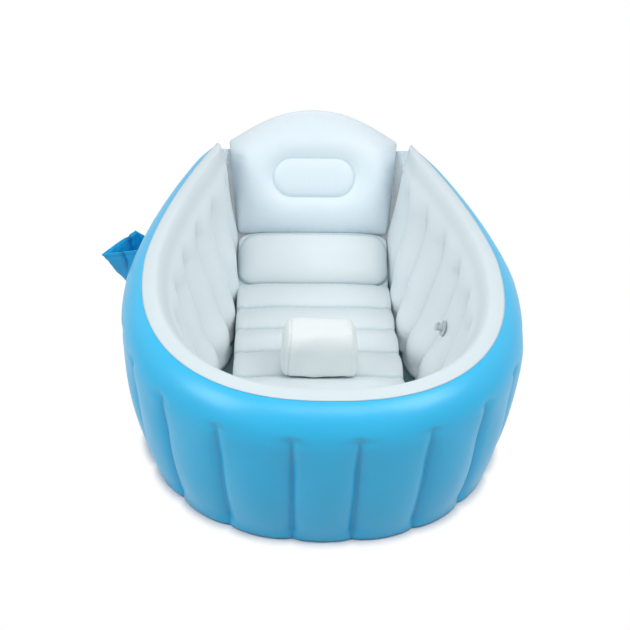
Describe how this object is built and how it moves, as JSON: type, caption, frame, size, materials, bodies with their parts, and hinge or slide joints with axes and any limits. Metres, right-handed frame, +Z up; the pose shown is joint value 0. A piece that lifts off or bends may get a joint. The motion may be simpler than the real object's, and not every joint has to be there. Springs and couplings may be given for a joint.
{
  "type": "inflatable bathtub",
  "caption": "Inflatable baby bathtub of welded vinyl: ribbed wall, reclined backrest, quilted seat, saddle bolster, side pouch and capped air valves.",
  "frame": {"origin": "on the floor under the middle of the tub, on the underside of the base sheet", "axes": "+Z up; +Y from the foot end towards the backrest; +X to the bather's left when sitting against the backrest, the side away from the pouch"},
  "size_m": [0.7044, 0.9679, 0.3412],
  "materials": {
    "blue_vinyl": "satin",
    "white_vinyl": "satin",
    "cream_vinyl": "satin",
    "clear_vinyl": "gloss",
    "clear_moulded": "gloss"
  },
  "bodies": {
    "tub": {"base_sheet": "clear_vinyl", "outer_wall_sheet": "blue_vinyl", "inner_wall_sheet": "white_vinyl", "wall_web_right_1": "clear_vinyl", "wall_web_right_2": "clear_vinyl", "wall_web_right_3": "clear_vinyl", "wall_web_right_4": "clear_vinyl", "wall_web_right_5": "clear_vinyl", "wall_web_right_6": "clear_vinyl", "wall_web_right_7": "clear_vinyl", "wall_web_right_8": "clear_vinyl", "wall_web_right_9": "clear_vinyl", "wall_web_right_10": "clear_vinyl", "wall_end_right": "clear_vinyl", "wall_web_left_1": "clear_vinyl", "wall_web_left_2": "clear_vinyl", "wall_web_left_3": "clear_vinyl", "wall_web_left_4": "clear_vinyl", "wall_web_left_5": "clear_vinyl", "wall_web_left_6": "clear_vinyl", "wall_web_left_7": "clear_vinyl", "wall_web_left_8": "clear_vinyl", "wall_web_left_9": "clear_vinyl", "wall_web_left_10": "clear_vinyl", "wall_end_left": "clear_vinyl", "rear_panel": "clear_vinyl", "seat_chamber": "white_vinyl", "backrest_chamber": "white_vinyl", "saddle_chamber": "cream_vinyl", "side_pouch": "blue_vinyl", "wall_valve_body": "clear_moulded", "seat_valve_body": "clear_moulded", "saddle_valve_body": "clear_moulded", "back_valve_body": "clear_moulded", "drain_body": "clear_moulded"},
    "wall_valve_cap_body": {"wall_valve_cap": "clear_moulded"},
    "wall_valve_flap_body": {"wall_valve_flap": "clear_vinyl"},
    "seat_valve_cap_body": {"seat_valve_cap": "clear_moulded"},
    "seat_valve_flap_body": {"seat_valve_flap": "clear_vinyl"},
    "saddle_valve_cap_body": {"saddle_valve_cap": "clear_moulded"},
    "saddle_valve_flap_body": {"saddle_valve_flap": "clear_vinyl"},
    "back_valve_cap_body": {"back_valve_cap": "clear_moulded"},
    "back_valve_flap_body": {"back_valve_flap": "clear_vinyl"},
    "drain_plug_body": {"drain_plug": "clear_moulded"}
  },
  "joints": [
    {"name": "wall_valve_cap_hinge", "type": "hinge", "parent": "tub", "child": "wall_valve_cap_body", "pos_m": [0.20312, -0.05708, 0.14211], "axis": [-0.06, 0.9982, 0], "range_deg": [0, 150]},
    {"name": "wall_valve_flap_hinge", "type": "hinge", "parent": "tub", "child": "wall_valve_flap_body", "pos_m": [0.21816, -0.05618, 0.13343], "axis": [0.06, -0.9982, 0], "range_deg": [0, 40], "stiffness_Nm_per_rad": 0.0001},
    {"name": "seat_valve_cap_hinge", "type": "hinge", "parent": "tub", "child": "seat_valve_cap_body", "pos_m": [0, -0.2066, 0.0686], "axis": [1, 0, 0], "range_deg": [0, 150]},
    {"name": "seat_valve_flap_hinge", "type": "hinge", "parent": "tub", "child": "seat_valve_flap_body", "pos_m": [0, -0.2021, 0.0518], "axis": [-1, 0, 0], "range_deg": [0, 40], "stiffness_Nm_per_rad": 0.0001},
    {"name": "saddle_valve_cap_hinge", "type": "hinge", "parent": "tub", "child": "saddle_valve_cap_body", "pos_m": [0, -0.0164, 0.1099], "axis": [1, 0, 0], "range_deg": [0, 150]},
    {"name": "saddle_valve_flap_hinge", "type": "hinge", "parent": "tub", "child": "saddle_valve_flap_body", "pos_m": [0, -0.0332, 0.1054], "axis": [-1, 0, 0], "range_deg": [0, 40], "stiffness_Nm_per_rad": 0.0001},
    {"name": "back_valve_cap_hinge", "type": "hinge", "parent": "tub", "child": "back_valve_cap_body", "pos_m": [0, 0.47292, 0.29116], "axis": [1, 0, 0], "range_deg": [0, 150]},
    {"name": "back_valve_flap_hinge", "type": "hinge", "parent": "tub", "child": "back_valve_flap_body", "pos_m": [0, 0.45564, 0.28918], "axis": [-1, 0, 0], "range_deg": [0, 40], "stiffness_Nm_per_rad": 0.0001},
    {"name": "drain_plug_hinge", "type": "hinge", "parent": "tub", "child": "drain_plug_body", "pos_m": [0.024, -0.292, 0.0068], "axis": [0, 1, 0], "range_deg": [0, 150]}
  ]
}
